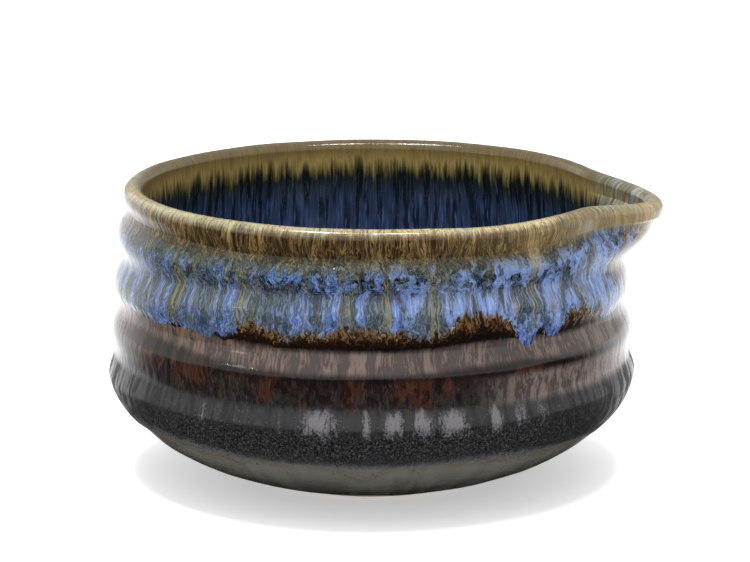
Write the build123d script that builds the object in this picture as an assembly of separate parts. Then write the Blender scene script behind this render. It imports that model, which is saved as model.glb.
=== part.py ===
from build123d import *
import math
import os

# A wheel-thrown matcha bowl with one spout pulled out of its rim, in millimetres.
# +Z is up, the origin is on the table under the middle of the foot, and the spout
# points along +X. The clay is one piece on a low foot ring. Each coat of glaze is a
# thin shell of its own, and lies on the clay or on the coat under it.
#
# A bowl is drawn as one outline in the (radius, height) half-plane, from the edge of
# the base up the outside, over the lip and down to the flat of the floor. The outline
# is repeated round the axis, and bent outwards where the spout is.

# Driving dimensions of the clay
HEIGHT = 72.0            # table to the highest point of the glazed lip
FOOT_HEIGHT = 2.0        # table to the underside of the bowl
FOOT_OUTER_RADIUS = 27.5
FOOT_WIDTH = 5.0
FOOT_EDGE_ROUND = 0.5
BASE_RADIUS = 30.2       # where the outside wall starts, at the underside
FLOOR_THICKNESS = 4.6
FLOOR_FLAT_RADIUS = 24.0
SHOULDER_RADIUS = 63.3   # widest place, at the lowest throwing rib
SHOULDER_HEIGHT = 25.8
WALL_LEAN = 0.106        # the wall leans in by this much per millimetre of height
LIP_ROUND = 1.3          # radius of the clay's rounded lip
LIP_FLARE = 0.65         # how far the lip stands out past the wall's line

# Throwing ribs on the outside: the lowest crest is at the shoulder
RIB_PITCH = 11.6
RIB_COUNT = 3
RIB_DEPTH_LOW = 0.45
RIB_DEPTH_HIGH = 0.95
STEPS_PER_RIB = 6

# Spout
SPOUT_REACH = 10.5       # how far its tip stands out of the round wall
SPOUT_HALF_ANGLE = 27.0
SPOUT_START_HEIGHT = 50.0
SPOUT_FULL_HEIGHT = 67.0
SPOUT_DIP = 2.0          # how far its tip lies under the rim
RIM_DIP = 1.1            # wider, shallower sag of the rim towards the spout
RIM_DIP_HALF_ANGLE = 60.0
DIP_START_HEIGHT = 46.0

# Thickness of the glaze coats, and the height down to which each one reaches
BASE_COAT = 0.30
SLATE_COAT = 0.35
RIM_COAT = 0.40
LINER_COAT = 0.60
SLATE_EDGE = 15.5
BLUE_EDGE = 47.0
LIP_EDGE = 62.0

# The slate coat stops at the lip, so this much of it inside is only there to cut away
SLATE_WASTE = 0.20

# Half of the section angles: close together at the spout, wider behind it
SECTION_ANGLES = [0, 4, 8, 12, 16, 20, 24, 28, 34, 42, 52, 64, 80, 96, 112, 128, 144, 162]

# Larger than the bowl in every direction, for the cutting blocks
REACH = 100.0


def raised_cosine(angle, half_angle):
    """1 in the middle, 0 from half_angle outwards, and smooth between."""
    if abs(angle) >= half_angle:
        return 0.0
    return math.cos(math.pi * angle / (2 * half_angle)) ** 2


def share(value, start, end):
    """How far value has come from start to end, from 0 to 1."""
    return min(1.0, max(0.0, (value - start) / (end - start)))


def clay_point(angle, radius, height, dips=True):
    """The place of one outline point at this angle round the axis, spout included."""
    angle = angle - 360 if angle > 180 else angle
    rise = share(height, SPOUT_START_HEIGHT, SPOUT_FULL_HEIGHT) ** 1.5
    radius = radius + SPOUT_REACH * raised_cosine(angle, SPOUT_HALF_ANGLE) * rise
    dip = SPOUT_DIP * raised_cosine(angle, SPOUT_HALF_ANGLE)
    dip = dip + RIM_DIP * raised_cosine(angle, RIM_DIP_HALF_ANGLE)
    if dips:
        height = height - dip * share(height, DIP_START_HEIGHT, HEIGHT) ** 2
    turn = math.radians(angle)
    return Vector(radius * math.cos(turn), radius * math.sin(turn), height)


def wall_line(height):
    """Radius of the leaning outside wall, without its ribs."""
    return SHOULDER_RADIUS - WALL_LEAN * (height - SHOULDER_HEIGHT)


def outside_outline():
    """Base edge, belly and ribbed wall, up to the neck under the lip."""
    belly = [
        (BASE_RADIUS, FOOT_HEIGHT),
        (35.7, 3.1),
        (42.8, 5.5),
        (51.3, 9.9),
        (57.2, 14.8),
        (61.9, 20.4),
    ]
    wall = []
    for step in range(RIB_COUNT * STEPS_PER_RIB + STEPS_PER_RIB // 2 + 1):
        height = SHOULDER_HEIGHT + step * RIB_PITCH / STEPS_PER_RIB
        grow = step / (RIB_COUNT * STEPS_PER_RIB)
        depth = RIB_DEPTH_LOW + (RIB_DEPTH_HIGH - RIB_DEPTH_LOW) * min(1.0, grow)
        rib = depth * math.cos(2 * math.pi * step / STEPS_PER_RIB)
        wall.append((wall_line(height) + rib, height))
    return belly + wall


def lip_outline(lip_top):
    """The rounded lip, from its outside to its inside."""
    centre_radius = wall_line(lip_top) - LIP_ROUND + LIP_FLARE
    centre_height = lip_top - LIP_ROUND
    points = []
    for turn in range(-10, 191, 25):
        angle = math.radians(turn)
        points.append(
            (centre_radius + LIP_ROUND * math.cos(angle), centre_height + LIP_ROUND * math.sin(angle))
        )
    return points


def inside_outline():
    """From under the lip down to the flat of the floor."""
    floor = FOOT_HEIGHT + FLOOR_THICKNESS
    return [
        (56.6, 64.0),
        (57.0, 56.0),
        (57.7, 46.0),
        (58.1, 36.0),
        (57.7, 26.5),
        (55.2, 18.6),
        (50.2, 12.7),
        (43.0, 8.9),
        (34.0, floor + 0.5),
        (28.5, floor + 0.08),
        (FLOOR_FLAT_RADIUS, floor),
    ]


def clay_outline():
    """The clay's whole outline, and how far round to the inside each point is, 0 to 1."""
    outside = outside_outline()
    lip = lip_outline(HEIGHT - RIM_COAT - SLATE_COAT - BASE_COAT)
    inside = inside_outline()
    shares = [0.0] * len(outside)
    shares = shares + [place / (len(lip) - 1) for place in range(len(lip))]
    shares = shares + [1.0] * len(inside)
    return outside + lip + inside, shares


def coated_outline(outside_coat, inside_coat):
    """The clay's outline moved outwards by the glaze on it."""
    points, shares = clay_outline()
    moved = [(BASE_RADIUS + outside_coat, FOOT_HEIGHT)]
    for place in range(1, len(points) - 1):
        radius, height = points[place]
        before = Vector(points[place - 1])
        along = (Vector(points[place + 1]) - before).normalized()
        coat = outside_coat + (inside_coat - outside_coat) * shares[place]
        moved.append((radius + along.Y * coat, height - along.X * coat))
    moved.append((FLOOR_FLAT_RADIUS, points[-1][1] + inside_coat))
    return moved


def middle_outline():
    """From the middle of the floor's thickness up the middle of the wall, past the lip."""
    lip_radius = wall_line(HEIGHT) - LIP_ROUND + LIP_FLARE
    return [
        (FLOOR_FLAT_RADIUS, 4.3),
        (40.0, 6.3),
        (50.0, 10.9),
        (56.5, 17.0),
        (60.2, 27.0),
        (60.0, 37.0),
        (59.0, 47.0),
        (58.2, 56.0),
        (lip_radius, 66.0),
        (lip_radius, HEIGHT),
        (lip_radius, REACH),
    ]


def solid_of_outline(outline, corner_height, dips=True):
    """The outline repeated round the axis, with a flat disc across each of its two ends."""
    back = [360 - angle for angle in reversed(SECTION_ANGLES[1:])]
    sections = []
    for angle in SECTION_ANGLES + [180] + back:
        curve = [clay_point(angle, radius, height, dips) for radius, height in outline]
        corner = clay_point(angle, FLOOR_FLAT_RADIUS, corner_height, dips)
        edges = [
            Edge.make_spline(curve),
            Edge.make_line(curve[-1], corner),
            Edge.make_line(corner, curve[0]),
        ]
        sections.append(Wire(edges))
    ring = Solid.make_loft(sections + [sections[0]])
    skin = ring.faces().sort_by(SortBy.AREA)[-1]
    ends = [edge for edge in skin.edges() if edge.is_closed]
    discs = [Face(Wire([edge])) for edge in ends]
    return Solid(Shell([skin] + discs))


def coated_bowl(outside_coat, inside_coat):
    """The whole bowl without its foot ring, as thick as these coats make it."""
    return solid_of_outline(coated_outline(outside_coat, inside_coat), FOOT_HEIGHT)


def above(height):
    """A block that holds everything above this height."""
    block = Box(2 * REACH, 2 * REACH, REACH, align=(Align.CENTER, Align.CENTER, Align.MIN))
    return Pos(0, 0, height) * block


def foot_ring():
    """The low unglazed ring that the bowl stands on."""
    standing = (Align.CENTER, Align.CENTER, Align.MIN)
    ring = Cylinder(FOOT_OUTER_RADIUS, FOOT_HEIGHT, align=standing)
    ring = ring - Cylinder(FOOT_OUTER_RADIUS - FOOT_WIDTH, FOOT_HEIGHT, align=standing)
    return fillet(ring.edges().group_by(Axis.Z)[0], FOOT_EDGE_ROUND)


def glaze_coats(clay):
    """Each coat by name: what it adds to the bowl under it, where its dip reached."""
    two_coats = BASE_COAT + SLATE_COAT
    inside_half = solid_of_outline(middle_outline(), REACH, dips=False)
    once = coated_bowl(BASE_COAT, LINER_COAT)
    twice = coated_bowl(two_coats, LINER_COAT + SLATE_WASTE)
    thrice = coated_bowl(two_coats + RIM_COAT, LINER_COAT + RIM_COAT)

    first = once - clay
    slate = (twice & above(SLATE_EDGE)) - once - inside_half
    rim = (thrice & above(BLUE_EDGE)) - once - slate
    return {
        "base_glaze": first - inside_half,
        "liner_glaze": first & inside_half,
        "slate_glaze": slate,
        "blue_glaze": rim - inside_half - above(LIP_EDGE),
        "lip_glaze": rim & above(LIP_EDGE),
    }


clay_body = coated_bowl(0.0, 0.0)
nodes = {"clay_body": clay_body, "foot_ring": foot_ring(), **glaze_coats(clay_body)}

os.makedirs("parts", exist_ok=True)
for name, shape in nodes.items():
    export_step(shape, f"parts/{name}.step")
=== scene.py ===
import math

import bpy
import numpy as np
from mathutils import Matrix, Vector


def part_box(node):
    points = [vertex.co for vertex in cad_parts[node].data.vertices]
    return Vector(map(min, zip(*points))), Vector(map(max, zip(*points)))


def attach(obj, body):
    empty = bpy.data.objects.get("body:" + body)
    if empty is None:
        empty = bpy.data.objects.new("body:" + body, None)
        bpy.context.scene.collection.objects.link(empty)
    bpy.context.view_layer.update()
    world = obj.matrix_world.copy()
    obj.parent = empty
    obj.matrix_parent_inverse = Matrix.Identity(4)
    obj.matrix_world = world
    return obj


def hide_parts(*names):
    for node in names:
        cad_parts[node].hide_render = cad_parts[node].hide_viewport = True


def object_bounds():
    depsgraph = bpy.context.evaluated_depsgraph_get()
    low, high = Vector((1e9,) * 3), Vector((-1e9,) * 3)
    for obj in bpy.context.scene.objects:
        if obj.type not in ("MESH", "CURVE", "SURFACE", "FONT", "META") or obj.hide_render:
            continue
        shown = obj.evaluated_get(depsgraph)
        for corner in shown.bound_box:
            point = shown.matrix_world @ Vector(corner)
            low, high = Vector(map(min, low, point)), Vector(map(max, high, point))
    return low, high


# A wheel-thrown matcha bowl: five coats of fired glaze as closed shells round the CAD's
# clay. The bowl's sizes are in millimetres, and become metres when a mesh is made. The
# studio's are in metres. A turn is an angle round the axis, from the spout, in radians.

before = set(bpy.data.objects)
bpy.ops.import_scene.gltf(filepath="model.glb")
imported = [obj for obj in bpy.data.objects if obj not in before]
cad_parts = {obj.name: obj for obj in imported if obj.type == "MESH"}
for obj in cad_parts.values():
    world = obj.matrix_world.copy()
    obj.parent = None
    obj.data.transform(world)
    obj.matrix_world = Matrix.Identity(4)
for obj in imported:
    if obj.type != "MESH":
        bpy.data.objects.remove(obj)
CAD_LOW, CAD_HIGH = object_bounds()
MM = 0.001

# ---- driving dimensions

HEIGHT = CAD_HIGH.z / MM  # table to the top of the lip
FOOT_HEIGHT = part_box("foot_ring")[1].z / MM

BASE_RADIUS = 30.2
FLOOR_TOP = 6.6
SHOULDER_RADIUS = 63.3
SHOULDER_HEIGHT = 25.8
WALL_LEAN = 0.106
LIP_ROUND = 1.3
LIP_FLARE = 0.65
RIB_PITCH = 11.6
RIB_COUNT = 3
RIB_DEPTH_LOW = 0.45
RIB_DEPTH_HIGH = 0.95

SPOUT_REACH = 10.5
SPOUT_HALF_ANGLE = 27.0
SPOUT_START_HEIGHT = 50.0
SPOUT_FULL_HEIGHT = 67.0
SPOUT_DIP = 2.0
RIM_DIP = 1.1
RIM_DIP_HALF_ANGLE = 60.0
DIP_START_HEIGHT = 46.0

# Coat thicknesses. The middle level is the slate coat outside and the liner inside.
OLIVE_COAT = 0.30
SLATE_COAT = 0.35
RIM_COAT = 0.40
LINER_COAT = 0.60

# Heights of the coats' lower edges
SLATE_EDGE = 15.2
BLUE_EDGE = 44.9
LIP_EDGE = 62.0
# How far a coat goes on under the one above it
SLATE_OVERLAP = 2.0
BLUE_OVERLAP = 2.5

TURNS = 960  # mesh columns round the bowl
FLOW_RADIUS = 60.0  # the circle on which glaze patterns are laid
ENDLESS = (1e6, 1e6)  # wavelengths of a field that is even up the wall


# ---- outline of the wall

def wall_line(height):
    """Radius of the leaning outside wall, without its ribs."""
    return SHOULDER_RADIUS - WALL_LEAN * (height - SHOULDER_HEIGHT)


def clay_outline():
    """Points of the clay's outline from the base edge over the lip to the floor's centre,
    with how far round to the inside each one is."""
    outside = [
        (BASE_RADIUS, FOOT_HEIGHT), (35.7, 3.1), (42.8, 5.5), (51.3, 9.9), (57.2, 14.8),
        (61.9, 20.4),
    ]
    steps = 12
    for step in range(RIB_COUNT * steps + steps // 2 + 1):
        height = SHOULDER_HEIGHT + step * RIB_PITCH / steps
        grow = min(1.0, step / (RIB_COUNT * steps))
        depth = RIB_DEPTH_LOW + (RIB_DEPTH_HIGH - RIB_DEPTH_LOW) * grow
        outside.append((wall_line(height) + depth * math.cos(2 * math.pi * step / steps), height))
    lip_top = HEIGHT - RIM_COAT - SLATE_COAT - OLIVE_COAT
    centre = wall_line(lip_top) - LIP_ROUND + LIP_FLARE
    lip = []
    for turn in range(-10, 191, 20):
        angle = math.radians(turn)
        rise = LIP_ROUND * (math.sin(angle) - 1)
        lip.append((centre + LIP_ROUND * math.cos(angle), lip_top + rise))
    inside = [
        (56.6, 64.0), (57.0, 56.0), (57.7, 46.0), (58.1, 36.0), (57.7, 26.5), (55.2, 18.6),
        (50.2, 12.7), (43.0, 8.9), (34.0, FLOOR_TOP + 0.5), (28.5, FLOOR_TOP + 0.08),
        (24.0, FLOOR_TOP), (12.0, FLOOR_TOP), (0.0, FLOOR_TOP),
    ]
    inward = [0.0] * len(outside) + list(np.linspace(0, 1, len(lip))) + [1.0] * len(inside)
    return np.array(outside + lip + inside), np.array(inward)


def smooth_curve(points, values, step):
    """A centripetal Catmull-Rom curve through the points, sampled every step millimetres."""
    ends = np.vstack([2 * points[0] - points[1], points, 2 * points[-1] - points[-2]])
    out, carried = [], []
    for i in range(1, len(ends) - 2):
        p0, p1, p2, p3 = ends[i - 1:i + 3]
        t0 = 0.0
        t1 = max(1e-6, np.linalg.norm(p1 - p0)) ** 0.5
        t2 = t1 + max(1e-6, np.linalg.norm(p2 - p1)) ** 0.5
        t3 = t2 + max(1e-6, np.linalg.norm(p3 - p2)) ** 0.5
        share = np.linspace(0, 1, 40, endpoint=i == len(ends) - 3)
        t = (t1 + (t2 - t1) * share)[:, None]
        a1 = (t1 - t) / (t1 - t0) * p0 + (t - t0) / (t1 - t0) * p1
        a2 = (t2 - t) / (t2 - t1) * p1 + (t - t1) / (t2 - t1) * p2
        a3 = (t3 - t) / (t3 - t2) * p2 + (t - t2) / (t3 - t2) * p3
        b1 = (t2 - t) / (t2 - t0) * a1 + (t - t0) / (t2 - t0) * a2
        b2 = (t3 - t) / (t3 - t1) * a2 + (t - t1) / (t3 - t1) * a3
        out.append((t2 - t) / (t2 - t1) * b1 + (t - t1) / (t2 - t1) * b2)
        carried.append(values[i - 1] + (values[i] - values[i - 1]) * share)
    curve, carried = np.vstack(out), np.concatenate(carried)
    length = np.concatenate([[0], np.cumsum(np.linalg.norm(np.diff(curve, axis=0), axis=1))])
    even = np.arange(0, length[-1], step)
    return (
        np.column_stack([np.interp(even, length, curve[:, 0]), np.interp(even, length, curve[:, 1])]),
        np.interp(even, length, carried),
    )


class Outline:
    """The middle level of the glazed wall, by distance along it from the base edge."""

    step = 0.05
    softening = 1.5                         # normals are averaged over this length

    def __init__(self):
        points, inward = clay_outline()
        clay, inward = smooth_curve(points, inward, self.step)
        along = np.gradient(clay, axis=0)
        along /= np.linalg.norm(along, axis=1)[:, None]
        normal = np.column_stack([along[:, 1], -along[:, 0]])
        width = int(self.softening / self.step)
        kernel = np.ones(width) / width
        padded = np.pad(normal, ((width // 2, width - 1 - width // 2), (0, 0)), mode="edge")
        normal = np.column_stack([np.convolve(padded[:, i], kernel, "valid") for i in (0, 1)])
        normal /= np.linalg.norm(normal, axis=1)[:, None]
        coat = (OLIVE_COAT + SLATE_COAT) * (1 - inward) + LINER_COAT * inward
        level = clay + normal * coat[:, None]
        level[0, 1] = FOOT_HEIGHT
        self.radius, self.height = np.maximum(level[:, 0], 0.0), level[:, 1]
        self.normal, self.inward = normal, inward
        self.length = len(clay) * self.step
        self.crest = self.step * int(np.argmax(self.height))
        self.places = np.arange(len(clay)) * self.step

    def at_height(self, height, inside=False):
        """How far along the outline this height is, outside or inside."""
        crest = int(self.crest / self.step)
        if inside:
            return self.crest + self.step * int(np.argmax(self.height[crest:] <= height))
        return self.step * int(np.argmax(self.height[:crest] >= height))

    def read(self, place):
        look = [self.radius, self.height, self.normal[:, 0], self.normal[:, 1], self.inward]
        return [np.interp(place, self.places, column) for column in look]


OUTLINE = Outline()


# ---- waves and reliefs

def smooth_step(value, start, end):
    """Smoothly from 0 at start to 1 at end."""
    share = np.clip((value - start) / (end - start), 0, 1)
    return share * share * (3 - 2 * share)


def raised_cosine(degrees, half_angle):
    """1 in the middle, 0 from half_angle outwards, and smooth between."""
    inside = np.abs(degrees) < half_angle
    return np.where(inside, np.cos(np.pi * degrees / (2 * half_angle)) ** 2, 0)


def waves(turn, place, seed, count, round_lengths, along_lengths):
    """A smooth random field of about unit size on the wall, made of cosines that close
    round the bowl. Lengths are the shortest and longest wavelength, in millimetres."""
    rng = np.random.default_rng(seed)
    field = np.zeros(np.broadcast(turn, place).shape)
    whole = 2 * math.pi * FLOW_RADIUS
    for _ in range(count):
        round_length = math.exp(rng.uniform(*np.log(round_lengths)))
        along_length = math.exp(rng.uniform(*np.log(along_lengths)))
        cycles = round(whole / round_length)
        sign = rng.choice([-1, 1])
        phase = rng.uniform(0, 2 * math.pi)
        field += np.cos(cycles * turn + sign * 2 * math.pi * place / along_length + phase)
    return field / math.sqrt(count / 2)


def runs(turn, seed, count, widths, drops):
    """Tongues of glaze that ran further down than the rest: how far, at each angle."""
    rng = np.random.default_rng(seed)
    reach = np.zeros_like(turn)
    for _ in range(count):
        middle = rng.uniform(0, 2 * math.pi)
        width = rng.uniform(*widths) / FLOW_RADIUS
        drop = rng.uniform(*drops)
        away = np.abs((turn - middle + math.pi) % (2 * math.pi) - math.pi)
        reach = np.maximum(reach, drop * np.exp(-((away / width) ** 2)))
    return reach


def away_from(turn, degrees):
    """How far each turn is from this angle, in millimetres round the wall."""
    apart = np.abs((turn - math.radians(degrees) + math.pi) % (2 * math.pi) - math.pi)
    return apart * FLOW_RADIUS


def run_at(turn, degrees, width, strength):
    """One tongue of glaze at a chosen angle."""
    return strength * np.exp(-((away_from(turn, degrees) / width) ** 2))


def together(turn, marks):
    """The sum of several tongues, given as (degrees, width, strength)."""
    return sum(run_at(turn, *mark) for mark in marks)


def widest(turn, marks):
    """The largest of several tongues, given in the same way."""
    return np.maximum.reduce([run_at(turn, *mark) for mark in marks])


def behind(turn, start, end, *look):
    """Tongues at random, only on the side of the bowl that is turned from the camera."""
    return runs(turn, *look) * smooth_step(np.sin(turn), start, end)


def edge_of(height, turn, seed, rough):
    """Where a coat's lower edge lies along the outline, ragged by about this much."""
    place = OUTLINE.at_height(height)
    slow = waves(turn, 0, seed, 8, (30, 120), ENDLESS)
    quick = waves(turn, 0, seed + 1, 24, (1.6, 9), ENDLESS)
    return place - rough * (0.45 * slow + 0.28 * quick)


def slate_edge(turn):
    edge = edge_of(SLATE_EDGE, turn, 11, 0.45)
    return edge - run_at(turn, -88, 5, 5.5) - runs(turn, 12, 9, (2, 5), (0.5, 2.4))


def blue_edge(turn):
    edge = edge_of(BLUE_EDGE, turn, 21, 0.5) - runs(turn, 22, 24, (1.2, 3.5), (0.2, 1.2))
    return edge + together(turn, [(-62, 7, 1.2), (-49.9, 2.2, -3.2), (-42.4, 2.6, -1.6)])


def olive_runs(turn):
    """Where the olive coat shows through the blue as long vertical runs, 0 to 1."""
    marks = [
        (-115.4, 1.5, 0.9), (-112, 0.7, 0.8), (-100.4, 0.5, 0.7), (-92.5, 0.5, 0.7),
        (-72.4, 1.7, 1), (-48.2, 0.9, 1), (-31.5, 0.8, 0.9), (-128, 0.5, 0.9),
        (-134, 0.5, 0.7),
    ]
    return np.maximum(widest(turn, marks), behind(turn, -0.35, 0.1, 23, 22, (0.4, 1.5), (0.6, 1)))


def burnt_reach(turn):
    """How far the burnt fringe climbs up from the blue coat's edge."""
    marks = [
        (-133, 26, -5), (-112, 9, 1.6), (-83, 3, 0.6), (-77, 4, -2.2), (-58, 5, 0.9),
        (-49.9, 3.6, -8), (-42.4, 3, -5), (-34, 4, 0.8), (-18, 10, -5),
    ]
    reach = 4.6 + 0.8 * waves(turn, 0, 24, 10, (6, 40), ENDLESS) + together(turn, marks)
    return np.maximum(reach, -0.6)


def lavender_runs(turn):
    """Where the slate coat is glossier over the lowest rib, as pale patches of painted sheen."""
    marks = [
        (-96.9, 3.9, 1), (-87, 1.1, 0.9), (-81.3, 2.3, 1), (-75.3, 2.3, 1), (-68.6, 3.2, 1),
        (-59, 1.8, 0.9), (-53, 2.2, 0.6), (-47.5, 2.2, 0.55), (-124, 1.2, 0.45),
        (-116, 0.8, 0.4), (-105.5, 0.8, 0.5),
    ]
    return np.maximum(widest(turn, marks), behind(turn, -0.45, 0, 25, 30, (0.8, 3.6), (0.6, 1)))


def oxblood_runs(turn):
    """Where the iron in the slate coat turned red between the two lowest ribs."""
    marks = [
        (-140, 6, 0.7), (-128, 5, 0.6), (-101, 1.5, 0.8), (-89, 2.2, 0.8),
        (-79, 3.6, 1), (-74.5, 1.6, 0.9), (-70.5, 1.6, 0.9), (-63, 1.5, 0.7),
    ]
    return np.maximum(widest(turn, marks), behind(turn, -0.45, 0, 26, 14, (1.5, 4), (0.6, 1)))


def spot(turn, height, degrees, middle, half_width, half_height):
    """A rounded patch on the wall."""
    across = (away_from(turn, degrees) / half_width) ** 4
    return np.exp(-across - np.abs((height - middle) / half_height) ** 3)


def wobble(turn, place):
    """The thrown wall's unevenness, in and out, which every coat shares."""
    slow = waves(turn, place, 31, 10, (120, 380), (60, 200))
    middle = waves(turn, place, 32, 18, (18, 60), (9, 30))
    return 0.07 * slow + 0.035 * middle


# How far the hand-thrown ribs leave their even spacing in front: height there, and shift
FRONT_SHIFTS = [
    (25, 0), (29.6, -1.9), (31.5, -1.6), (36.5, 0.2), (44, 0), (52.4, 3.4), (56.9, 2.1),
    (60.8, 0.3), (63, -1), (64.6, -1.8), (67, -1.1), (69.5, 0),
]
FRONT_TURN = -86.0
# The hollow under the lip fades out towards the spout
NECK_HEIGHT = 66.4
NECK_FILL = 0.8
# The rim sags a little more on the way to the spout, as thrown rims do
HAND_DIP = 0.7
HAND_DIP_TURN = -52.0
HAND_DIP_HALF_ANGLE = 34.0


def rib_shift(turn, height):
    """How far up the throwing ribs lie from their even spacing, at each angle and height."""
    away = np.abs((np.degrees(turn) - FRONT_TURN + 180) % 360 - 180)
    front = 1 - smooth_step(away, 26, 64)
    tilt = 0.25 * np.cos(turn - 0.2) + 0.10 * np.cos(2 * turn + 1)
    wall = smooth_step(height, 14, 26) * (1 - smooth_step(height, 62, 68))
    grid = np.linspace(0, HEIGHT, 400)
    shifts = np.pad(np.interp(grid, *zip(*FRONT_SHIFTS)), 8, mode="edge")
    curve = np.convolve(shifts, np.ones(17) / 17, "valid")
    return tilt * wall + front * np.interp(height, grid, curve)


def glaze_ripple(turn, place):
    """Soft runs and ripples in the thickness of the molten glaze."""
    long_runs = waves(turn, place, 41, 40, (2.2, 9), (14, 60))
    beads = waves(turn, place, 42, 40, (1.6, 4.5), (1.8, 6))
    return 0.010 * long_runs + 0.0035 * beads


def rim_level(turn, place):
    """How far the rim coat stands over the middle level, along the wall and over the lip."""
    inner_end = OUTLINE.at_height(LIP_EDGE, inside=True)
    return RIM_COAT * (1 - smooth_step(place, inner_end - 3, inner_end + 7))


def blue_level(turn, place):
    """The rim coat, which thins out to nothing at its lower edge."""
    up = place - blue_edge(turn)
    bead = 0.10 * np.exp(-(((up - 2.2) / 1.3) ** 2)) * smooth_step(up, 0, 1.2)
    return rim_level(turn, place) * smooth_step(up, 0, 3.2) + bead


def slate_level(turn, place):
    """The middle level, which thins out to the base coat at the slate coat's lower edge."""
    up = place - slate_edge(turn)
    return -SLATE_COAT * (1 - smooth_step(up, 0, 2.4))


def olive_level(turn, place):
    """One coat under the middle level, with a rounded edge and a bead at the foot."""
    rise = np.sqrt(np.clip(1 - (1 - np.clip(place / 0.9, 0, 1)) ** 2, 0, 1))
    return -SLATE_COAT - 0.22 * (1 - rise) + 0.05 * np.exp(-(((place - 1.4) / 1.2) ** 2))


def wall_point(turn, place, level):
    """Points of the wall, in metres: the outline at this angle, lifted by level along its
    normal, then bent into the spout."""
    _, here, _, _, inward = OUTLINE.read(place)
    shifted = place - rib_shift(turn, here) * (1 - smooth_step(inward, 0, 0.1))
    radius, height, out, up, _ = OUTLINE.read(shifted)
    radius = radius + WALL_LEAN * (height - here)
    height = here
    flat = smooth_step(radius, 6, 40)
    lift = level + (wobble(turn, place) + glaze_ripple(turn, place)) * flat
    degrees = np.degrees((turn + math.pi) % (2 * math.pi) - math.pi)
    neck = np.exp(-(((here - NECK_HEIGHT) / 2.6) ** 2)) * (1 - smooth_step(inward, 0, 0.1))
    lift = lift + NECK_FILL * neck * (1 - smooth_step(np.abs(degrees), 22, 70))
    radius = radius + out * lift
    height = height + up * lift
    rise = (height - SPOUT_START_HEIGHT) / (SPOUT_FULL_HEIGHT - SPOUT_START_HEIGHT)
    pulled = SPOUT_REACH * raised_cosine(degrees, SPOUT_HALF_ANGLE)
    radius = radius + pulled * np.clip(rise, 0, 1) ** 1.5
    dip = SPOUT_DIP * raised_cosine(degrees, SPOUT_HALF_ANGLE)
    dip = dip + RIM_DIP * raised_cosine(degrees, RIM_DIP_HALF_ANGLE)
    dip = dip + HAND_DIP * raised_cosine(degrees - HAND_DIP_TURN, HAND_DIP_HALF_ANGLE)
    rise = (height - DIP_START_HEIGHT) / (HEIGHT - DIP_START_HEIGHT)
    height = height - dip * np.clip(rise, 0, 1.1) ** 2
    return np.stack([radius * np.cos(turn), radius * np.sin(turn), height], axis=-1) * MM


# ---- meshes

def add_object(name, data):
    thing = bpy.data.objects.new(name, data)
    bpy.context.scene.collection.objects.link(thing)
    return thing


def wall_normal(turn, place, level):
    """Outward normals of the same surface, from small steps along and round it."""
    small = 0.08
    along = wall_point(turn, place + small, level(turn, place + small))
    along = along - wall_point(turn, place - small, level(turn, place - small))
    angle = small / FLOW_RADIUS
    around = wall_point(turn + angle, place, level(turn + angle, place))
    around = around - wall_point(turn - angle, place, level(turn - angle, place))
    normal = np.cross(around, along)
    return normal / np.maximum(np.linalg.norm(normal, axis=-1, keepdims=True), 1e-12)


def ring_faces(counts):
    """Faces between rows that run round the bowl, from each row to the next and from the
    last one back to the first. A row has TURNS points, or is a single one."""
    starts = np.concatenate([[0], np.cumsum(counts)[:-1]]).tolist()
    columns = np.arange(TURNS)
    after = (columns + 1) % TURNS
    faces = []
    for row, low in enumerate(starts):
        following = (row + 1) % len(counts)
        high = starts[following]
        if counts[row] > 1 and counts[following] > 1:
            corners = [low + columns, low + after, high + after, high + columns]
        elif counts[row] > 1:
            corners = [low + columns, low + after, np.full(TURNS, high)]
        elif counts[following] > 1:
            corners = [np.full(TURNS, low), high + after, high + columns]
        else:
            continue
        faces += np.column_stack(corners).tolist()
    return faces


def coat(name, start, end, level, depth, shares, back_rows, to_centre=False):
    """A closed shell of glaze. start and end give its edges along the outline at each angle,
    level its outer surface over the middle level, depth its thickness, and shares where the
    rows of its outer surface lie on the way from start to end."""
    turn = np.linspace(0, 2 * math.pi, TURNS, endpoint=False)
    first, last = [edge(turn) if callable(edge) else np.full(TURNS, edge) for edge in (start, end)]
    outer = first + (last - first) * np.asarray(shares)[:, None]
    inner = first + (last - first) * np.linspace(1, 0, back_rows)[:, None]
    places = np.vstack([outer, inner])
    turns = np.broadcast_to(turn, places.shape)
    count = len(outer)
    points = np.concatenate([
        wall_point(turns[:count], outer, level(turns[:count], outer)),
        wall_point(turns[count:], inner, level(turns[count:], inner) - depth),
    ])
    normals = wall_normal(turns[:count], outer, level)
    kept = np.ones(places.shape, bool)
    if to_centre:
        kept[count - 1:count + 1, 1:] = False
    mesh = bpy.data.meshes.new(name)
    mesh.from_pydata(points[kept].tolist(), [], ring_faces(kept.sum(axis=1)))
    mesh.update()
    piece = add_object(name, mesh)
    paint_places(mesh, turns[kept], places[kept])
    shade(mesh, normals[kept[:count]])
    return piece


# How quickly the glaze patterns change on the way up the outside wall, by height: low
# where the glaze ran in long streaks, high where it curled or stayed in grains.
QUICKNESS = [
    (0, 0.1), (14, 0.12), (17, 0.6), (23, 0.5), (26, 0.16), (31, 0.18), (34, 0.3), (37, 0.2),
    (39, 0.08), (43, 0.08), (45, 0.12), (46.5, 0.24), (50, 0.2), (52, 0.07), (56.5, 0.07),
    (58, 0.26), (64, 0.26), (65.5, 0.08), (70, 0.08), (71.5, 0.22),
]
# How much they twist into curls, by height
CURL = [
    (45, 0.1), (46.5, 0.9), (49.5, 0.8), (52, 0.12), (56, 0.12), (58, 1), (63, 1),
    (65.5, 0.1), (72, 0),
]
INSIDE_QUICKNESS = 0.09


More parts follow.
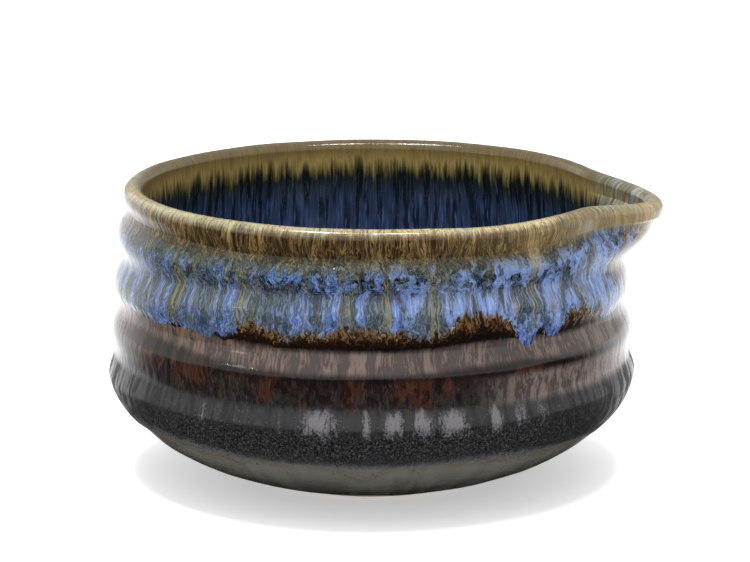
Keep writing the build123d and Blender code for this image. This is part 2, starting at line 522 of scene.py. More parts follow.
def streams(place):
    """The distance along the wall as the patterns count it."""
    height, inward = OUTLINE.height, OUTLINE.inward
    quick = np.interp(height, *zip(*QUICKNESS)) * (1 - inward) + INSIDE_QUICKNESS * inward
    counted = np.cumsum(quick) * OUTLINE.step
    return np.interp(place, OUTLINE.places, counted)


def paint_places(mesh, turn, place):
    """Where each point lies on the wall, for the glaze patterns. spot holds true distances,
    and flow the stretched ones that follow the run of the glaze."""
    radius, height, _, _, inward = OUTLINE.read(place)
    shrink = smooth_step(radius, 0, 30)
    across = FLOW_RADIUS * shrink[:, None] * np.column_stack([np.cos(turn), np.sin(turn)])
    degrees = np.degrees((turn + math.pi) % (2 * math.pi) - math.pi)
    for label, along in (("spot", place), ("flow", streams(place))):
        vectors = np.column_stack([across, along]).astype(np.float32)
        mesh.attributes.new(label, "FLOAT_VECTOR", "POINT").data.foreach_set("vector", vectors.ravel())
    values = {
        "height": height,
        "inward": inward,
        "inner_share": inward + 0.4 * smooth_step(np.sin(turn), 0, 0.6) * smooth_step(inward, 0, 0.25),
        "curl": np.interp(height, *zip(*CURL)) * (1 - inward),
        "over_blue_edge": place - blue_edge(turn),
        "over_slate_edge": place - slate_edge(turn),
        "burnt_reach": burnt_reach(turn),
        "olive_run": olive_runs(turn),
        "oxblood": oxblood_runs(turn),
        "lavender_run": lavender_runs(turn),
        "amber_spot": np.maximum(
            spot(turn, height, -53.6, 52.6, 0.6, 2), spot(turn, height, -43, 51.8, 0.7, 2.4)
        ),
        "tan_spot": spot(turn, height, -46.8, 65.2, 2.2, 4.4),
        "violet_spot": spot(turn, height, -82, 56, 3.6, 1.9),
        # painted light: where the blue is painted lighter and clearer, from the right of the front round
        # to the back
        "painted_light_right": smooth_step(degrees, -96, -58) * smooth_step(degrees, 165, 110),
        # band_lift raises the slate coat's colour bands on the left, and with them the painted shade
        # under the middle rib
        "band_lift": 3.2 * raised_cosine((degrees + 150 + 180) % 360 - 180, 50)
        + 1.3 * raised_cosine(degrees + 56, 26),
        # painted sheen: where a taupe sheen is painted on the right
        "painted_sheen_right": smooth_step(degrees, -66, -50) * smooth_step(degrees, 40, 10),
        "near_spout": raised_cosine(degrees, 80),
        "channel": smooth_step(np.abs(degrees), 24, 12) * smooth_step(height, 56, 66),
        "left_side": raised_cosine((degrees + 142 + 180) % 360 - 180, 44),
        "warm_side": smooth_step(degrees, -26, -6) * smooth_step(degrees, 26, 4),
        "spout": smooth_step(np.abs(degrees), 42, 20) * smooth_step(height, 52, 60),
    }
    for label, value in values.items():
        numbers = value.astype(np.float32)
        mesh.attributes.new(label, "FLOAT", "POINT").data.foreach_set("value", numbers)


def shade(mesh, normals):
    """Smooth shading with the true surface's normals on the outer face of a coat, so that
    two coats that meet show no seam. Its points are the mesh's first ones."""
    mesh.polygons.foreach_set("use_smooth", np.ones(len(mesh.polygons), bool))
    corners = np.zeros(len(mesh.loops), np.int32)
    mesh.loops.foreach_get("vertex_index", corners)
    starts, totals = np.zeros((2, len(mesh.polygons)), np.int32)
    mesh.polygons.foreach_get("loop_start", starts)
    mesh.polygons.foreach_get("loop_total", totals)
    outer_face = np.minimum.reduceat(corners < len(normals), starts)
    outer = np.repeat(outer_face, totals)
    custom = np.zeros((len(corners), 3), np.float32)
    custom[outer] = normals[corners[outer]]
    mesh.normals_split_custom_set(custom.tolist())


def rows(count, crowding=0.08):
    """Shares of the way from a coat's lower edge to its upper one, closer at both edges."""
    even = np.linspace(0, 1, count)
    return even - crowding * np.sin(2 * math.pi * even) / (2 * math.pi)


# ---- materials

def srgb(red, green, blue):
    """A colour as seen on a screen, 0 to 255, as the linear values that shaders take."""
    parts = [part / 255 for part in (red, green, blue)]
    return tuple(p / 12.92 if p <= 0.04045 else ((p + 0.055) / 1.055) ** 2.4 for p in parts)


class Paint:
    """A material's node tree, built by small steps. Patterns are laid in millimetres, and
    colour is what all the layers so far come to."""

    def __init__(self, name):
        self.material = bpy.data.materials.new(name)
        self.material.use_nodes = True
        self.tree = self.material.node_tree
        self.shader = self.tree.nodes["Principled BSDF"]
        self.colour = None

    def node(self, kind):
        return self.tree.nodes.new("ShaderNode" + kind)

    def put(self, socket, value):
        """Link a socket to the value, or set it if the value is plain."""
        if isinstance(value, bpy.types.NodeSocket):
            self.tree.links.new(value, socket)
        elif socket.type == "RGBA":
            socket.default_value = (*value, 1)
        else:
            socket.default_value = value

    def give(self, label, value):
        """Put a value into the material's shader."""
        self.put(self.shader.inputs[label], value)

    def read(self, label, output="Fac"):
        """A value that the mesh holds for each of its points."""
        node = self.node("Attribute")
        node.attribute_name = label
        return node.outputs[output]

    def math(self, operation, *values):
        node = self.node("Math")
        node.operation = operation
        for socket, value in zip(node.inputs, values):
            self.put(socket, value)
        return node.outputs[0]

    def own_place(self):
        """Place on the object itself, in metres."""
        return self.node("TexCoord").outputs["Object"]

    def sum(self, *values):
        total = values[0]
        for value in values[1:]:
            total = self.math("ADD", total, value)
        return total

    def times(self, *values):
        total = values[0]
        for value in values[1:]:
            total = self.math("MULTIPLY", total, value)
        return total

    def larger(self, first, second):
        return self.math("MAXIMUM", first, second)

    def inverse(self, value):
        return self.math("SUBTRACT", 1.0, value)

    def smooth(self, value, low, high, to_low=0.0, to_high=1.0):
        """Smooth from to_low where the value is low, to to_high where it is high."""
        node = self.node("MapRange")
        node.interpolation_type = "SMOOTHSTEP"
        limits = {"From Min": low, "From Max": high, "To Min": to_low, "To Max": to_high}
        for label, number in limits.items():
            self.put(node.inputs[label], number)
        self.put(node.inputs["Value"], value)
        return node.outputs["Result"]

    def band(self, value, low, high, soft):
        """1 between low and high, fading over soft on both sides."""
        rise = self.smooth(value, low - soft, low + soft)
        return self.times(rise, self.smooth(value, high + soft, high - soft))

    def vector(self, operation, first, second):
        node = self.node("VectorMath")
        node.operation = operation
        self.put(node.inputs[0], first)
        self.put(node.inputs[3] if operation == "SCALE" else node.inputs[1], second)
        return node.outputs[0]

    def noise(self, where, size, detail=2.0, rough=0.5, output="Fac"):
        """Noise whose features are about size millimetres."""
        node = self.node("TexNoise")
        self.put(node.inputs["Vector"], where)
        node.inputs["Scale"].default_value = 1.0 / size
        node.inputs["Detail"].default_value = detail
        node.inputs["Roughness"].default_value = rough
        return node.outputs[output]

    def specks(self, where, spacing, outer=0.16, inner=0.08):
        """Round specks that fade between these shares of their spacing."""
        node = self.node("TexVoronoi")
        self.put(node.inputs["Vector"], where)
        node.inputs["Scale"].default_value = 1.0 / spacing
        return self.smooth(node.outputs["Distance"], outer, inner)

    def ramp(self, value, stops):
        """Colours along a value. The stops are (value, red, green, blue), from low to high."""
        low, high = stops[0][0], stops[-1][0]
        share = self.math("DIVIDE", self.math("SUBTRACT", value, low), high - low)
        node = self.node("ValToRGB")
        elements = node.color_ramp.elements
        while len(elements) < len(stops):
            elements.new(0.5)
        for element, (place, *colour) in zip(elements, stops):
            element.position = (place - low) / (high - low)
            element.color = (*srgb(*colour), 1)
        self.put(node.inputs["Fac"], share)
        return node.outputs["Color"]

    def mix(self, share, first, second):
        node = self.node("Mix")
        node.data_type = "RGBA"
        self.put(node.inputs["Factor"], share)
        colours = [socket for socket in node.inputs if socket.type == "RGBA"]
        self.put(colours[0], first)
        self.put(colours[1], second)
        return [socket for socket in node.outputs if socket.type == "RGBA"][0]

    def over(self, tone, *shares):
        """Lay a tone over the colour, as strongly as the product of the shares."""
        tone = srgb(*tone) if isinstance(tone, tuple) else tone
        self.colour = self.mix(self.times(*shares), self.colour, tone)

    def finish(self, roughness, bump, bump_depth, gloss, ior):
        self.give("Base Color", self.colour)
        self.give("Roughness", roughness)
        self.give("IOR", ior)
        self.give("Specular IOR Level", gloss)
        node = self.node("Bump")
        node.inputs["Distance"].default_value = bump_depth * MM
        self.put(node.inputs["Height"], bump)
        self.give("Normal", node.outputs["Normal"])
        return self.material


class Glaze(Paint):
    """A glaze, with the patterns that every coat shares: how it ran down the wall."""

    def __init__(self, name):
        super().__init__(name)
        self.spot = self.read("spot", "Vector")
        self.height = self.read("height")
        push = self.centred(self.noise(self.spot, 9, 1, output="Color"))
        push = self.vector("SCALE", push, self.smooth(self.read("inward"), 0.3, 0.8, 1, 0.3))
        push = self.vector("MULTIPLY", push, (2.8, 2.8, 0.3))
        twirl = self.centred(self.noise(self.spot, 2.6, 2, output="Color"))
        twirl = self.vector("MULTIPLY", twirl, (1, 1, 0.25))
        twirl = self.vector("SCALE", twirl, self.sum(self.times(self.read("curl"), 4.6), 0.3))
        bent = self.vector("ADD", self.read("flow", "Vector"), push)
        self.bent = self.vector("ADD", bent, twirl)
        self.tongues = self.pattern(3.8, 2, squeeze=0.7)
        self.hairs = self.pattern(0.55, 3, 0.6)
        self.threads = self.pattern(1.15, 2, squeeze=1.25)
        self.wisps = self.pattern(0.75, 1, aside=(31, 17, 5))
        self.patches = self.pattern(3, 1.5, squeeze=2.4)
        self.bars = self.pattern(1.7, 2, aside=(7, 43, 2))
        self.grain = self.noise(self.spot, 0.34, 2, 0.6)
        self.drift = self.noise(self.spot, 16, 1)

    def centred(self, colour):
        """A noise's colour as a push to all sides."""
        return self.vector("SUBTRACT", colour, (0.5, 0.5, 0.5))

    def pattern(self, size, detail, rough=0.5, squeeze=1, aside=(0, 0, 0)):
        """Noise along the run of the glaze, squeezed up and down, or taken from aside."""
        where = self.vector("MULTIPLY", self.bent, (1, 1, squeeze))
        return self.noise(self.vector("ADD", where, aside), size, detail, rough)

    def weigh(self, **weights):
        """The sum of the named patterns, each times its weight."""
        return self.sum(*[self.times(getattr(self, name), weight) for name, weight in weights.items()])

    def swing(self, **reaches):
        """The named patterns as a push, each of about so many millimetres to both sides."""
        pushes = {name: 4 * reach for name, reach in reaches.items()}
        return self.sum(self.weigh(**pushes), -0.5 * sum(pushes.values()))

    def ridge(self, value, width):
        """Thin lines where a noise passes its middle."""
        away = self.math("ABSOLUTE", self.math("SUBTRACT", value, 0.5))
        return self.smooth(away, width, 0)

    def filaments(self):
        """Fine pale threads that part and join."""
        return self.larger(self.ridge(self.threads, 0.03), self.times(self.ridge(self.wisps, 0.045), 0.8))

    def glass(self):
        """The slick finish of the upper coats, with a slight relief along the streaks."""
        rough = self.smooth(self.threads, 0.35, 0.7, 0.09, 0.2)
        return self.finish(rough, self.weigh(hairs=0.6, threads=0.6), 0.07, 0.5, 1.47)


# Colours of the outside by height, from the blue to the crest of the lip. By patches, the
# glaze is murky or clear, with dark and light streaks.
MURKY = [
    (40, 44, 64, 104), (47, 48, 62, 84), (50, 52, 60, 58), (55.5, 44, 54, 54),
    (57.5, 14, 22, 36), (60.5, 7, 12, 20), (62.5, 10, 16, 16), (64, 34, 30, 16),
    (66, 44, 31, 14), (70.4, 44, 32, 15), (71.3, 156, 142, 106), (76, 164, 150, 114),
]
CLEAR = [
    (40, 56, 82, 142), (47, 58, 84, 144), (51, 68, 90, 144), (55.5, 76, 96, 142),
    (57.5, 52, 78, 134), (60.5, 42, 70, 122), (62.5, 32, 44, 46), (64, 54, 46, 24),
    (66, 62, 46, 22), (70.4, 56, 40, 18), (71.3, 164, 150, 114), (76, 170, 156, 120),
]
DARK_STREAK = [
    (40, 22, 32, 60), (47, 30, 42, 74), (51, 50, 62, 88), (55.5, 46, 58, 82),
    (57.5, 12, 18, 30), (60.5, 4, 8, 12), (62.5, 10, 12, 8), (64.5, 32, 22, 11),
    (70.4, 26, 16, 6), (71.3, 84, 68, 44), (76, 98, 82, 56),
]
LIGHT_STREAK = [
    (40, 120, 142, 184), (50, 124, 144, 180), (56, 130, 148, 184), (60.5, 112, 140, 182),
    (62.5, 92, 104, 90), (64.3, 124, 106, 66), (70.2, 146, 122, 74), (71.1, 204, 190, 150),
    (76, 216, 202, 162),
]


def streaked_blue(glaze, ragged, strands):
    """Amber lip, olive and navy curls, streaks of blue, and painted light: a lighter, clearer blue on the
    right of the front.
    """
    # painted light: the right of the front is made less murky and a lighter blue
    painted_light_right = glaze.read("painted_light_right")
    patches = glaze.sum(glaze.patches, glaze.times(painted_light_right, 0.07))
    streaked = glaze.band(glaze.height, 46, 63.5, 1)
    glaze.colour = glaze.ramp(ragged, CLEAR)
    glaze.over((118, 138, 184), painted_light_right, streaked, 0.5)
    glaze.over(glaze.ramp(ragged, MURKY), glaze.smooth(patches, 0.58, 0.48))
    glaze.over(glaze.ramp(ragged, DARK_STREAK), glaze.smooth(strands, 0.5, 0.41, 0, 0.75))
    thread = glaze.larger(glaze.smooth(strands, 0.54, 0.64), glaze.times(glaze.filaments(), 0.8))
    pale = glaze.times(thread, glaze.smooth(patches, 0.42, 0.6, 0.45, 0.9))
    glaze.over(glaze.ramp(ragged, LIGHT_STREAK), pale)

    moss = glaze.mix(pale, srgb(40, 46, 32), srgb(104, 108, 86))
    glaze.over(moss, glaze.smooth(glaze.bars, 0.54, 0.61), streaked, 0.6)
    murk = glaze.mix(pale, srgb(52, 58, 50), srgb(110, 118, 112))
    glaze.over(murk, glaze.read("left_side"), streaked, 0.25)
    glaze.over((58, 52, 74), glaze.read("violet_spot"), glaze.smooth(strands, 0.56, 0.48), 0.8)


def olive_and_tan(glaze, ragged, strands):
    """Runs of olive and spots of amber in the blue, and thin tan glaze under the spout."""
    run = glaze.larger(glaze.read("olive_run"), glaze.smooth(glaze.tongues, 0.59, 0.67))
    broken = glaze.smooth(glaze.hairs, 0.38, 0.55, 0.5, 0.95)
    olive = glaze.mix(glaze.smooth(glaze.hairs, 0.42, 0.6), srgb(46, 48, 36), srgb(108, 106, 78))
    glaze.over(olive, run, glaze.band(glaze.height, 47.5, 62, 2), broken)
    glaze.over((116, 98, 60), glaze.read("amber_spot"), glaze.smooth(glaze.hairs, 0.36, 0.5), 0.8)
    thin = glaze.sum(glaze.read("warm_side"), glaze.swing(tongues=0.35, bars=0.25))
    tan = glaze.mix(glaze.smooth(strands, 0.42, 0.58), srgb(110, 90, 64), srgb(158, 140, 110))
    glaze.over(tan, glaze.smooth(thin, 0.35, 1), glaze.smooth(ragged, 46, 56, 0.25, 1), 0.7)


def lip_crest(glaze):
    """The crest of the lip, where the glaze is thin: cream, freckles and some verdigris."""
    crest = glaze.smooth(glaze.height, 69.4, 71.2)
    cream = glaze.times(glaze.read("near_spout"), glaze.smooth(glaze.height, 64, 67), 0.4)
    glaze.over((166, 150, 114), glaze.larger(cream, glaze.times(crest, 0.3)))
    tan = glaze.times(glaze.read("tan_spot"), glaze.smooth(glaze.hairs, 0.4, 0.55, 0.25, 0.65))
    glaze.over((146, 128, 84), tan)
    freckled = glaze.larger(glaze.larger(crest, tan), glaze.times(cream, 0.8))
    glaze.over((92, 62, 34), glaze.smooth(glaze.grain, 0.53, 0.62), freckled, 0.75)
    dashed = glaze.times(crest, glaze.smooth(glaze.drift, 0.42, 0.56))
    glaze.over((58, 52, 44), glaze.smooth(glaze.wisps, 0.6, 0.68), dashed, 0.8)
    verdigris = glaze.times(crest, glaze.smooth(glaze.drift, 0.49, 0.58))
    glaze.over((126, 140, 116), glaze.smooth(glaze.hairs, 0.46, 0.56), verdigris, 0.75)


def burnt_fringe(glaze):
    """Where the blue coat thins out at its lower edge and burns brown and black."""
    above = glaze.colour
    up = glaze.sum(glaze.read("over_blue_edge"), glaze.swing(hairs=1.5, threads=0.8))
    deep = glaze.math("SUBTRACT", up, glaze.read("burnt_reach"))
    near_edge = glaze.smooth(up, 3.4, 1)
    glaze.colour = glaze.mix(glaze.smooth(deep, -3.2, 0.2), srgb(54, 30, 16), srgb(92, 76, 48))
    glaze.over((14, 6, 3), near_edge)
    glaze.over((26, 12, 6), glaze.smooth(glaze.hairs, 0.53, 0.43, 0, 0.85))
    glaze.over((122, 90, 50), glaze.smooth(glaze.hairs, 0.55, 0.66), glaze.inverse(near_edge), 0.75)
    glaze.over(above, glaze.smooth(deep, -0.8, 0.8))


def upper_outside(glaze):
    """The blue and lip coats outside, from the burnt edge up to the crest."""
    reach = glaze.smooth(glaze.height, 65, 69, 1, 0.3)
    uneven = glaze.times(glaze.swing(bars=0.9, hairs=1), reach)
    ragged = glaze.sum(glaze.height, glaze.times(glaze.read("spout"), -3.8), uneven)
    strands = glaze.weigh(hairs=0.6, threads=0.4)
    streaked_blue(glaze, ragged, strands)
    olive_and_tan(glaze, ragged, strands)
    lip_crest(glaze)
    burnt_fringe(glaze)


# Colours of the inside by height: pooled blue, a dark fringe, and olive brown at the lip
INSIDE = [
    (0, 84, 106, 154), (8, 74, 96, 146), (20, 54, 74, 116), (44, 54, 70, 100),
    (57, 50, 65, 92), (60.5, 36, 48, 62), (63, 32, 38, 30), (65, 92, 84, 46),
    (67.5, 148, 128, 74), (69.5, 122, 102, 58), (71, 84, 72, 46), (76, 62, 54, 38),
]
INSIDE_LIGHT = [
    (0, 150, 172, 214), (20, 92, 116, 170), (54, 80, 102, 152), (59.5, 66, 86, 108),
    (63, 76, 82, 56), (66.5, 160, 140, 84), (71, 104, 92, 62), (76, 84, 76, 54),
]
INSIDE_DARK = [
    (0, 34, 50, 92), (20, 24, 34, 58), (52, 24, 32, 44), (59, 14, 19, 20),
    (63, 18, 22, 14), (66, 84, 70, 38), (71, 66, 56, 34), (76, 52, 44, 30),
]


def inside(glaze):
    """The liner and the inner side of the lip, with a paler channel in the spout."""
    reach = glaze.smooth(glaze.height, 67, 71, 1, 0.2)
    ragged = glaze.sum(glaze.height, glaze.times(glaze.swing(bars=2.3, hairs=0.9), reach))
    dark = glaze.ramp(ragged, INSIDE_DARK)
    calm = glaze.smooth(ragged, 63.5, 66.5, 1, 0.3)
    glaze.colour = glaze.ramp(ragged, INSIDE)
    glaze.over(dark, glaze.smooth(glaze.bars, 0.54, 0.42), calm)
    glaze.over(dark, glaze.smooth(glaze.hairs, 0.5, 0.38, 0, 0.4))
    glaze.over(glaze.ramp(ragged, INSIDE_LIGHT), glaze.smooth(glaze.hairs, 0.52, 0.7, 0, 0.7))
    pale = glaze.mix(glaze.smooth(glaze.hairs, 0.42, 0.58), srgb(92, 98, 84), srgb(142, 150, 144))
    glaze.over(pale, glaze.read("channel"), glaze.smooth(glaze.bars, 0.36, 0.6, 0.2, 0.8))


def blue_material():
    glaze = Glaze("blue_streaked_glaze")
    upper_outside(glaze)
    return glaze.glass()


def lip_material():
    glaze = Glaze("amber_lip_glaze")
    upper_outside(glaze)
    outside = glaze.colour
    inside(glaze)
    glaze.over(outside, glaze.smooth(glaze.read("inner_share"), 0.75, 0.35))
    return glaze.glass()


def liner_material():
    glaze = Glaze("pooled_blue_liner")
    inside(glaze)
    return glaze.glass()


# Colours of the slate coat by height: charcoal, near black, darkest as painted shade under the middle
# rib, and pewter brown on the rib
SLATE = [
    (12, 88, 84, 80), (15, 82, 80, 80), (17, 40, 40, 42), (23.5, 33, 32, 34),
    (29.5, 34, 33, 34), (32, 34, 31, 31), (35, 27, 20, 19), (37.6, 12, 7, 6),
    (39, 54, 44, 40), (42.8, 62, 51, 47), (44.1, 10, 5, 4), (50, 12, 6, 4),
]
# Colours of the base coat by height, darker towards the foot as painted shade on the belly's turned-under
# side
OLIVE = [(0, 40, 39, 37), (4, 52, 51, 48), (8, 70, 69, 64), (13, 86, 84, 78), (20, 74, 66, 54)]


def rib_sheen_and_runs(glaze, level):
    """Pale and grey streaks on the middle rib, the glaze's streaks lightened and greyed as a painted
    sheen, and brown runs down the left side.
    """
    rib = glaze.band(level, 38.8, 43.6, 0.8)
    # painted sheen: pale taupe and grey streaks over the rib
    streaks = glaze.weigh(patches=0.34, bars=0.2, hairs=0.46)
    glaze.over((110, 95, 88), glaze.smooth(streaks, 0.46, 0.58), rib, 0.7)
    glaze.over((60, 58, 60), glaze.smooth(streaks, 0.49, 0.41), rib, 0.7)
    left = glaze.times(glaze.read("left_side"), glaze.smooth(glaze.height, 31, 42))
    smoke = glaze.weigh(bars=0.5, hairs=0.5)
    glaze.over((104, 82, 56), glaze.smooth(smoke, 0.47, 0.57), left, 0.55)


def oxblood_hollow(glaze, level):
    """Red iron, strands, painted shade in the groove on the left, and soot between the two lowest ribs.
    """
    blotch = glaze.pattern(4.4, 3, 0.6, squeeze=1.4)
    iron = glaze.sum(blotch, glaze.times(glaze.read("oxblood"), 0.16))
    red = glaze.times(glaze.smooth(iron, 0.54, 0.66), glaze.band(level, 30.5, 37.2, 1.6))
    glaze.over((56, 28, 20), red, 0.85)
    strands = glaze.smooth(glaze.hairs, 0.5, 0.6, 0, 0.4)
    glaze.over((64, 50, 44), strands, glaze.band(glaze.height, 30, 36.8, 0.8))
    # painted shade: near black in the groove under the middle rib, on the left side
    glaze.over((20, 12, 10), glaze.read("left_side"), glaze.band(level, 35.4, 38.4, 1), 0.75)
    soot = glaze.smooth(glaze.threads, 0.5, 0.4)
    glaze.over((12, 8, 7), soot, glaze.band(glaze.height, 31, 37.2, 1.6), 0.7)
    glaze.over((64, 42, 22), red, glaze.smooth(glaze.hairs, 0.54, 0.64), 0.5)


def smoke_and_painted_sheen(glaze):
    """Smoke on the lowest rib, and a painted taupe sheen over it on the right."""
    smoke = glaze.weigh(bars=0.5, hairs=0.5)
    shoulder = glaze.band(glaze.height, 25, 31.5, 1)
    glaze.over((18, 16, 16), glaze.smooth(smoke, 0.52, 0.42), shoulder, 0.7)
    # painted sheen: taupe laid over the hollow above the lowest rib on the right
    taupe = glaze.mix(glaze.smooth(smoke, 0.42, 0.56), srgb(68, 61, 60), srgb(110, 98, 92))
    glaze.over(taupe, glaze.read("painted_sheen_right"), glaze.band(glaze.height, 30, 36.4, 1.2), 0.85)


def glossy_patches_painted_sheen(glaze):
    """Where the coat is glossier on the lowest rib, as ragged patches that carry a painted sheen."""
    height = glaze.sum(glaze.height, glaze.swing(hairs=1.6, grain=1.2, bars=1.6))
    glassy = glaze.sum(glaze.read("lavender_run"), glaze.swing(hairs=0.34, grain=0.34, tongues=0.16))
    on_rib = glaze.times(glaze.smooth(height, 23.4, 25.6), glaze.smooth(height, 30.6, 28.8))
    return glaze.times(glaze.smooth(glassy, 0.36, 0.86), on_rib)


def slate_material():
    """Pewter brown with a painted sheen, oxblood and near black, lavender patches of painted sheen and
    speckled charcoal.
    """
    glaze = Glaze("slate_glaze")
    level = glaze.math("SUBTRACT", glaze.height, glaze.read("band_lift"))
    glaze.colour = glaze.ramp(glaze.sum(level, glaze.swing(hairs=0.5, tongues=0.4)), SLATE)
    rib_sheen_and_runs(glaze, level)
    oxblood_hollow(glaze, level)
    smoke_and_painted_sheen(glaze)
    patch = glossy_patches_painted_sheen(glaze)
    # painted sheen: pale lavender grey on the glossier patches
    glaze.over((101, 98, 103), patch, 0.85)

    fine = glaze.noise(glaze.spot, 0.42, 1, 0.6)
    charcoal = glaze.band(glaze.sum(glaze.height, glaze.swing(hairs=1.2)), 17, 25, 2.4)
    glaze.over((10, 10, 11), glaze.smooth(fine, 0.53, 0.44), charcoal, 0.9)
    glaze.over((78, 77, 78), glaze.smooth(fine, 0.58, 0.68), charcoal, 0.45)
    glaze.over((104, 102, 104), glaze.specks(glaze.spot, 1.1), glaze.smooth(glaze.height, 32, 29), 0.5)

    matte = glaze.times(glaze.smooth(glaze.height, 31.5, 29.5), glaze.inverse(patch))
    dull = glaze.times(matte, glaze.smooth(glaze.bars, 0.56, 0.44, 0.18, 0.48))
    rough = glaze.sum(dull, glaze.smooth(glaze.threads, 0.35, 0.7, 0, 0.08), 0.1)
    relief = glaze.sum(glaze.times(glaze.hairs, 0.6), glaze.times(fine, charcoal, 0.8))
    return glaze.finish(rough, relief, 0.07, 0.5, 1.47)


def olive_material():
    """Glassy olive grey, darker towards the foot as painted shade under the belly, with a rusty line
    under the slate coat.
    """
    glaze = Glaze("olive_base_glaze")
    glaze.colour = glaze.ramp(glaze.height, OLIVE)
    glaze.over((94, 94, 86), glaze.smooth(glaze.tongues, 0.45, 0.6, 0, 0.4))
    under = glaze.sum(glaze.read("over_slate_edge"), glaze.swing(threads=0.4))
    rusty = glaze.smooth(under, -2.4, -0.2, 0, 0.6)
    glaze.over((72, 60, 44), rusty, glaze.smooth(glaze.drift, 0.4, 0.58, 0.3, 1))
    specks = glaze.specks(glaze.spot, 2.4)
    glaze.over((26, 22, 18), specks, 0.7)
    rough = glaze.smooth(glaze.threads, 0.35, 0.7, 0.1, 0.2)
    return glaze.finish(rough, glaze.sum(glaze.threads, specks), 0.04, 0.5, 1.5)


def stoneware_material():
    """Bare fired clay: warm brown with dark grog, rough to the touch."""
    paint = Paint("bare_stoneware")
    place = paint.vector("SCALE", paint.own_place(), 1 / MM)
    cloud = paint.noise(place, 7, 4, 0.6)
    fine = paint.noise(place, 0.5, 3, 0.7)
    grog = paint.specks(place, 1.6, 0.22, 0.12)
    paint.colour = paint.mix(paint.smooth(cloud, 0.35, 0.65), srgb(124, 96, 72), srgb(158, 128, 98))
    paint.over((96, 72, 54), paint.smooth(fine, 0.55, 0.7), 0.5)
    paint.over((58, 44, 34), grog, 0.6)
    rough = paint.smooth(fine, 0.3, 0.7, 0.62, 0.85)
    return paint.finish(rough, paint.sum(fine, paint.times(grog, 0.5)), 0.12, 0.4, 1.5)


# ---- the object

def build_coats():
    """Five shells in place of the CAD's five coats, from the foot up and over the lip."""
    top_outside = OUTLINE.at_height(LIP_EDGE)
    top_inside = OUTLINE.at_height(LIP_EDGE, inside=True)
    middle = OUTLINE.length - OUTLINE.step
    # Name: edges, level and depth, rows outside and at the back, CAD node, slot, material
    plans = {
        "base_coat": (
            (OUTLINE.step, lambda turn: slate_edge(turn) + SLATE_OVERLAP, olive_level, 0.2),
            (rows(80), 12), "base_glaze", "olive_base_glaze", olive_material,
        ),
        "slate_coat": (
            (slate_edge, lambda turn: blue_edge(turn) + BLUE_OVERLAP, slate_level, 0.25),
            (rows(84), 14), "slate_glaze", "slate_glaze", slate_material,
        ),
        "blue_coat": (
            (blue_edge, top_outside, blue_level, 0.3),
            (rows(50), 10), "blue_glaze", "blue_glaze", blue_material,
        ),
        "lip_coat": (
            (top_outside, top_inside, rim_level, 0.3),
            (rows(64, 0.0), 24), "lip_glaze", "amber_lip_glaze", lip_material,
        ),
        "liner_coat": (
            (top_inside, middle, rim_level, 0.3),
            (rows(84, 0.0), 12), "liner_glaze", "liner_glaze", liner_material,
        ),
    }
    for name, (shape, mesh_rows, node, slot, material) in plans.items():
        piece = coat(name, *shape, *mesh_rows, to_centre=name == "liner_coat")
        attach(piece, "root")
        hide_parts(node)
        piece.data.materials.append(material())


def show_clay():
    """The clay and its foot ring are the CAD's own, in bare stoneware."""
    stoneware = stoneware_material()
    for node in ("clay_body", "foot_ring"):
        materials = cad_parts[node].data.materials
        materials.clear()
        materials.append(stoneware)


# ---- the studio

CAMERA_AZIMUTH = 4.0
FLOOR_REACH = 3.0
FLOOR_GLOW = 0.45
WORLD_STRENGTH = 0.85
CARD_HEIGHT = 0.0005
CARD_INNER_RADIUS = 0.03
CARD_FADE = (86, 130)  # degrees away from the front
FLAG_RADIUS = 0.9
FLAG_HEIGHT = 0.8
FLAG_ANGLES = range(154, 207, 4)  # degrees away from the front
# Name, azimuth, elevation, distance, size and radiance of each lamp
LAMPS = [
    ("strip_left", -50, 73, 1.3, (0.34, 0.16), 48.0),
    ("strip_right", 36, 73, 1.3, (0.24, 0.16), 48.0),
    ("small_lamp", -56.5, 16, 1.2, (0.022, 0.014), 260.0),
    ("overhead", 0, 84, 1.4, (1.8, 1.8), 1.0),
    ("left_wall", CAMERA_AZIMUTH - 138, 18, 1.2, (0.8, 1.0), 0.6),
]


def face_bowl(name, data, azimuth, elevation, distance):
    """A camera or lamp that faces the bowl. Azimuth 0 is in front, 90 on the +X side."""
    holder = add_object(name, data)
    a, e = math.radians(azimuth), math.radians(elevation)
    away = Vector((math.sin(a) * math.cos(e), -math.cos(a) * math.cos(e), math.sin(e)))
    holder.location = Vector((0, 0, HEIGHT * MM / 2)) + away * distance
    holder.rotation_mode = "QUATERNION"
    holder.rotation_quaternion = (-away).to_track_quat("-Z", "Y")
    return holder


def add_flat(name, points, faces, paint):
    mesh = bpy.data.meshes.new(name)
    mesh.from_pydata(points, [], faces)
    mesh.materials.append(paint.material)
    flat = add_object(name, mesh)
    return flat


def show_only_in_reflections(flat):
    flat.visible_camera = False
    flat.visible_diffuse = False
    flat.visible_shadow = False


def around(radius, degrees, height):
    """A point of the studio. Angle 0 is in front."""
    angle = math.radians(degrees)
    return (radius * math.sin(angle), -radius * math.cos(angle), height)


def add_floor():
    """A pale floor that glows a little, as an overexposed backdrop does."""
    paint = Paint("floor_white")
    tone = paint.noise(paint.own_place(), 0.4, 2.0)
    paint.colour = paint.mix(tone, (0.74, 0.74, 0.74), (0.76, 0.76, 0.76))
    paint.give("Emission Color", (1, 1, 1))
    paint.give("Emission Strength", FLOOR_GLOW)
    paint.finish(0.9, tone, 0.0, 0.2, 1.4)
    r = FLOOR_REACH
    add_flat("floor", [(-r, -r, 0), (r, -r, 0), (r, r, 0), (-r, r, 0)], [(0, 1, 2, 3)], paint)


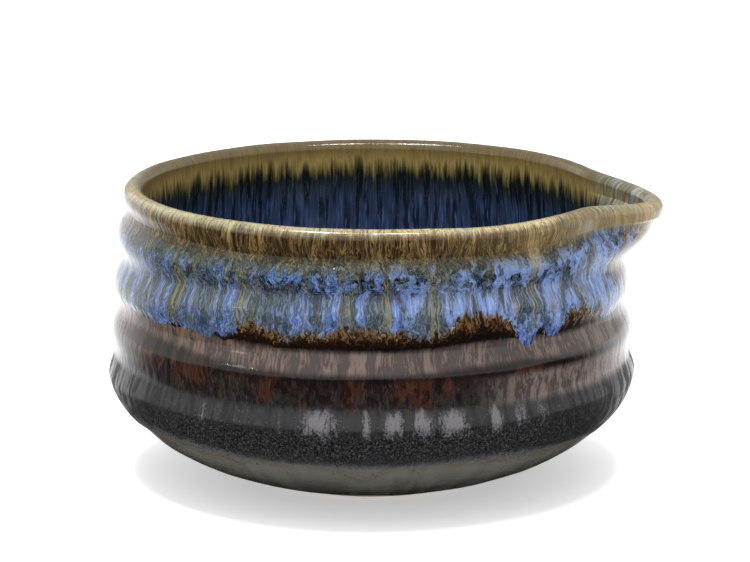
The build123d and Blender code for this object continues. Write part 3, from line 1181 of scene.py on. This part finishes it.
def add_dark_card():
    """A dark card on the table in front of the bowl. Only its reflection shows, and it
    fades out behind the bowl, where the glaze reflects the pale floor."""
    sides = 96
    angles = [360 * side / sides for side in range(sides)]
    points = [around(r, angle, CARD_HEIGHT) for r in (CARD_INNER_RADIUS, FLOOR_REACH) for angle in angles]
    dark = [1 - float(smooth_step(min(angle, 360 - angle), *CARD_FADE)) for angle in angles] * 2
    quads = [(i, (i + 1) % sides, sides + (i + 1) % sides, sides + i) for i in range(sides)]
    paint = Paint("dark_card")
    card = add_flat("dark_card", points, quads, paint)
    card.data.attributes.new("dark", "FLOAT", "POINT").data.foreach_set("value", dark)
    tone = paint.noise(paint.read("dark", "Vector"), 0.4)
    paint.give("Base Color", paint.mix(tone, (0.02, 0.02, 0.02), (0.03, 0.03, 0.03)))
    paint.give("Alpha", paint.read("dark"))
    paint.give("Roughness", 1.0)
    paint.give("Specular IOR Level", 0.0)
    show_only_in_reflections(card)


def add_grey_flag():
    """A grey flag behind the bowl, seen only as a reflection, that keeps its edges from
    fading into the white."""
    count = len(FLAG_ANGLES)
    points = [around(FLAG_RADIUS, angle, z) for z in (0.0, FLAG_HEIGHT) for angle in FLAG_ANGLES]
    faces = [(i, i + 1, count + i + 1, count + i) for i in range(count - 1)]
    paint = Paint("grey_flag")
    tone = paint.noise(paint.own_place(), 0.4)
    paint.colour = paint.mix(tone, (0.26, 0.25, 0.24), (0.30, 0.29, 0.28))
    paint.finish(1.0, paint.colour, 0.0, 0.0, 1.55)
    show_only_in_reflections(add_flat("grey_flag", points, faces, paint))


def build_studio():
    add_floor()
    add_dark_card()
    add_grey_flag()
    world = bpy.data.worlds.new("studio")
    bpy.context.scene.world = world
    world.use_nodes = True
    background = world.node_tree.nodes["Background"]
    background.inputs["Color"].default_value = (1, 1, 1, 1)
    background.inputs["Strength"].default_value = WORLD_STRENGTH
    lamps = {}
    for name, azimuth, elevation, distance, size, radiance in LAMPS:
        light = bpy.data.lights.new(name, "AREA")
        light.shape = "RECTANGLE"
        light.size, light.size_y = size
        light.energy = radiance * size[0] * size[1] * math.pi
        lamps[name] = face_bowl(name, light, azimuth, elevation, distance)
    lamps["overhead"].visible_glossy = False
    lamps["left_wall"].visible_camera = False


def build_camera():
    camera = bpy.data.cameras.new("camera")
    camera.sensor_width = 36.0
    camera.lens = 187.9
    camera.clip_start, camera.clip_end = 0.05, 20.0
    camera.shift_x, camera.shift_y = 0.0048, 0.0596
    bpy.context.scene.camera = face_bowl("camera", camera, CAMERA_AZIMUTH, 12.9, 0.960)


build_camera()
build_coats()
show_clay()
build_studio()
bpy.context.scene.view_settings.view_transform = "Standard"
